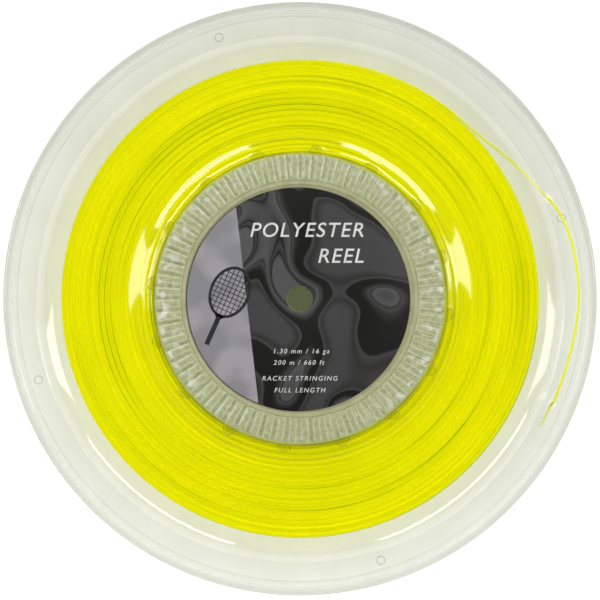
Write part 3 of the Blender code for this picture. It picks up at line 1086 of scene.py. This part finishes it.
def build_label(name, node, material, over):
    """A thin disc with a hole off its centre, its two rims slightly rounded over."""
    vertices = []
    for radius, centre, height in LABEL_RINGS:
        for step in range(LABEL_STEPS):
            angle = 2.0 * math.pi * step / LABEL_STEPS
            x = centre[0] + radius * math.cos(angle)
            y = centre[1] + radius * math.sin(angle)
            vertices.append(placed(x, y, height, over))
    faces = []
    for level in range(len(LABEL_RINGS)):
        after = (level + 1) % len(LABEL_RINGS)
        faces.extend(level_faces(level * LABEL_STEPS, after * LABEL_STEPS, LABEL_STEPS))
    finish_piece(mesh_object(name, vertices, faces, 30.0), material, "label_print", node)


def flat_prism(name, outlines, low_mm, over):
    """One piece of ink from flat outlines (lists of x, y in millimetres, anticlockwise)."""
    shape = bmesh.new()
    for outline in outlines:
        bottom = [shape.verts.new(placed(x, y, low_mm, over)) for x, y in outline]
        top = [shape.verts.new(placed(x, y, low_mm + INK_MM, over)) for x, y in outline]
        shape.faces.new(top)
        shape.faces.new(bottom[::-1])
        for index in range(len(outline)):
            after = (index + 1) % len(outline)
            shape.faces.new((bottom[index], bottom[after], top[after], top[index]))
    bmesh.ops.recalc_face_normals(shape, faces=shape.faces)
    mesh = bpy.data.meshes.new(name)
    shape.to_mesh(mesh)
    shape.free()
    return linked(name, mesh)


# Heights of the layers of ink above the label, and a capital's share of the font's size.
PANEL_LIFT_MM = 0.01
PRINT_LIFT_MM = 0.03
GRID_LIFT_MM = 0.034
CAP_SHARE = 0.70

# Print on the label: text, cap height, right edge or centre x, baseline y, alignment, letter spacing.
LABEL_LINES = (
    ("POLYESTER", 6.5, 28.9, 28.3, "RIGHT", 1.13),
    ("REEL", 6.5, 28.9, 16.5, "RIGHT", 1.13),
    ("1.30 mm / 16 ga", 2.1, 0.4, -24.8, "CENTER", 1.3),
    ("200 m / 660 ft", 2.1, -0.6, -30.0, "CENTER", 1.3),
    ("RACKET STRINGING", 2.1, -0.2, -37.2, "CENTER", 1.3),
    ("FULL LENGTH", 2.1, -0.2, -42.6, "CENTER", 1.3),
)


def build_text(name, material, over):
    """All the lines of print as one piece of slanted ink."""
    parts = []
    for text, cap, x, y, align, spacing in LABEL_LINES:
        curve = bpy.data.curves.new(name, "FONT")
        curve.body = text
        curve.size = cap / CAP_SHARE * MM
        curve.shear = 0.22
        curve.align_x = align
        curve.space_character = spacing
        curve.extrude = INK_MM * MM / 2.0
        curve.offset = 0.00005 if cap > 4.0 else 0.00001
        item = linked(name, curve)
        item.location = (x * MM, y * MM, 0.0)
        parts.append(item)
    bpy.context.view_layer.update()
    graph = bpy.context.evaluated_depsgraph_get()
    shape = bmesh.new()
    for item in parts:
        mesh = bpy.data.meshes.new_from_object(item.evaluated_get(graph))
        mesh.transform(item.matrix_world)
        shape.from_mesh(mesh)
        bpy.data.meshes.remove(mesh)
        bpy.data.objects.remove(item, do_unlink=True)
    bmesh.ops.remove_doubles(shape, verts=shape.verts, dist=1e-7)
    mesh = bpy.data.meshes.new(name)
    shape.to_mesh(mesh)
    shape.free()
    middle = Matrix.Translation((0.0, 0.0, MID))
    lift = Matrix.Translation((0.0, 0.0, (LABEL_TOP_MM + PRINT_LIFT_MM + INK_MM / 2.0) * MM))
    if over:
        mesh.transform(middle @ Matrix.Rotation(math.pi, 4, "X") @ lift)
    else:
        mesh.transform(middle @ lift)
    finish_piece(linked(name, mesh), material, "label_print")


def panel_outline():
    """The part of the label left of a leaning line, kept just inside the label's edge."""
    radius = 50.7
    start = math.radians(124.0)
    stop = math.radians(249.0)
    points = []
    for part in range(65):
        angle = start + (stop - start) * part / 64.0
        x = LABEL_CENTRE_MM[0] + radius * math.cos(angle)
        y = LABEL_CENTRE_MM[1] + radius * math.sin(angle)
        points.append((x, y))
    return points


RACKET_TILT = math.radians(-24.0)
RACKET_CENTRE_MM = (-32.0, 3.0)
HEAD_WIDE_MM = 9.2
HEAD_TALL_MM = 12.2
HEAD_BAND_MM = 1.3
GRID_PITCH_MM = 2.1
GRID_HALF_MM = 0.18
GRID_INSET_MM = 0.9


def racket_place(x, y):
    return (
        RACKET_CENTRE_MM[0] + x * math.cos(RACKET_TILT) - y * math.sin(RACKET_TILT),
        RACKET_CENTRE_MM[1] + x * math.sin(RACKET_TILT) + y * math.cos(RACKET_TILT),
    )


def grid_reach(offset, across, along):
    """Half the length of a string that crosses the head at an offset from its middle."""
    share = offset / (across - GRID_INSET_MM)
    return (along - GRID_INSET_MM) * math.sqrt(max(0.0, 1.0 - share ** 2))


def racket_outlines():
    """A plain tilted racket: its head, main strings and handle, then its cross strings."""
    steps = 72
    outlines = []
    for step in range(steps):
        outline = []
        for turn, inset in ((step, 0.0), (step + 1, 0.0), (step + 1, HEAD_BAND_MM), (step, HEAD_BAND_MM)):
            angle = 2.0 * math.pi * turn / steps
            x = (HEAD_WIDE_MM - inset) * math.cos(angle)
            y = (HEAD_TALL_MM - inset) * math.sin(angle)
            outline.append((x, y))
        outlines.append(outline[::-1])
    for index in range(-3, 4):
        x = index * GRID_PITCH_MM
        reach = grid_reach(x, HEAD_WIDE_MM, HEAD_TALL_MM)
        left, right = x - GRID_HALF_MM, x + GRID_HALF_MM
        outlines.append([(left, -reach), (right, -reach), (right, reach), (left, reach)])
    outlines.append([
        (-1.1, -26.0), (1.1, -26.0), (1.1, -HEAD_TALL_MM - 1.0),
        (2.6, -HEAD_TALL_MM + 0.9), (-2.6, -HEAD_TALL_MM + 0.9), (-1.1, -HEAD_TALL_MM - 1.0),
    ])
    crosses = []
    for index in range(-4, 5):
        y = index * GRID_PITCH_MM
        reach = grid_reach(y, HEAD_TALL_MM, HEAD_WIDE_MM)
        low, high = y - GRID_HALF_MM, y + GRID_HALF_MM
        crosses.append([(-reach, low), (reach, low), (reach, high), (-reach, high)])
    return [
        [[racket_place(x, y) for x, y in outline] for outline in group] for group in (outlines, crosses)
    ]


def build_print(prefix, panel_ink, racket_ink, over):
    """The grey panel and the racket, each a thin layer of ink on the label."""
    mains, crosses = racket_outlines()
    for name, outlines, lift, ink in (
        ("_panel", [panel_outline()], PANEL_LIFT_MM, panel_ink),
        ("_racket", mains, PRINT_LIFT_MM, racket_ink),
        ("_racket_cross", crosses, GRID_LIFT_MM, racket_ink),
    ):
        item = flat_prism(prefix + name, outlines, LABEL_TOP_MM + lift, over)
        finish_piece(item, ink, "label_print")


# ------------------------------------------------------------------ build

build_camera()
build_world()
build_lights()
build_floor()

neon = string_material("string_neon", (
    (0.05, (0.25, 0.35, 0.0)),
    (0.50, (0.82, 0.82, 0.002)),
    (0.72, (0.92, 0.89, 0.003)),
    (1.0, (0.96, 0.92, 0.004)),
))
neon_tail = string_material("string_neon_tail", (
    (0.10, (0.22, 0.24, 0.02)),
    (0.45, (0.62, 0.63, 0.035)),
    (0.60, (0.84, 0.86, 0.10)),
    (1.0, (0.82, 0.84, 0.46)),
))
build_tail(neon_tail)
build_winding(neon)

CLEAR_TINT = (0.967, 0.968, 0.958)
CLEAR_EDGE = (0.44, 0.49, 0.36)
clear = clear_plastic_material("clear_moulding", CLEAR_TINT, CLEAR_EDGE)
clear_rear = clear_plastic_material("clear_moulding_rear", CLEAR_TINT, CLEAR_EDGE, 0.35, 0.02)
lug_clear = clear_plastic_material("clear_lug", (0.975, 0.98, 0.93), (0.45, 0.50, 0.20), 0.03, 0.04, 0.7)
mark_clear = clear_plastic_material("clear_mark", (0.93, 0.935, 0.92), (0.48, 0.52, 0.42))
sage_ring = fluted_material()
sage_plate = sage_material("sage_smooth", (0.40, 0.42, 0.22), (0.50, 0.51, 0.30), 8.0)
# Painted shade: the sleeve is coloured dark so the bore reads as shaded.
olive_painted_bore_shade = sage_material("olive_sleeve_painted_shade", (0.10, 0.13, 0.045), (0.16, 0.19, 0.08), 14.0)
print_dark = label_material("label_marble")
ink_white = print_material("ink_white", (0.68, 0.68, 0.67), (0.78, 0.78, 0.77), 300.0)
ink_grey = print_material("ink_grey", (0.26, 0.255, 0.265), (0.36, 0.35, 0.36), 60.0)
ink_black = print_material("ink_black", (0.018, 0.018, 0.018), (0.03, 0.03, 0.03), 200.0)

for prefix, over in (("front", False), ("rear", True)):
    build_flange(prefix + "_clear_flange", prefix + "_flange", clear_rear if over else clear, over)
    build_ring(prefix + "_fluted_ring", prefix + "_lock_ring", sage_ring, over)
    build_lugs(prefix + "_lugs", lug_clear, over)
    build_plate(prefix + "_hub_disc", prefix + "_hub_plate", sage_plate, over)
    build_label(prefix + "_label_disc", prefix + "_label", print_dark, over)
    build_text(prefix + "_label_text", ink_white, over)
    build_print(prefix + "_label", ink_grey, ink_black, over)

build_marks("front_round_marks", mark_clear)
build_tube(olive_painted_bore_shade)
build_barrel(sage_ring)
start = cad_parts["string_start"]
for slot in start.material_slots:
    slot.material = neon

bpy.context.scene.view_settings.view_transform = "Standard"
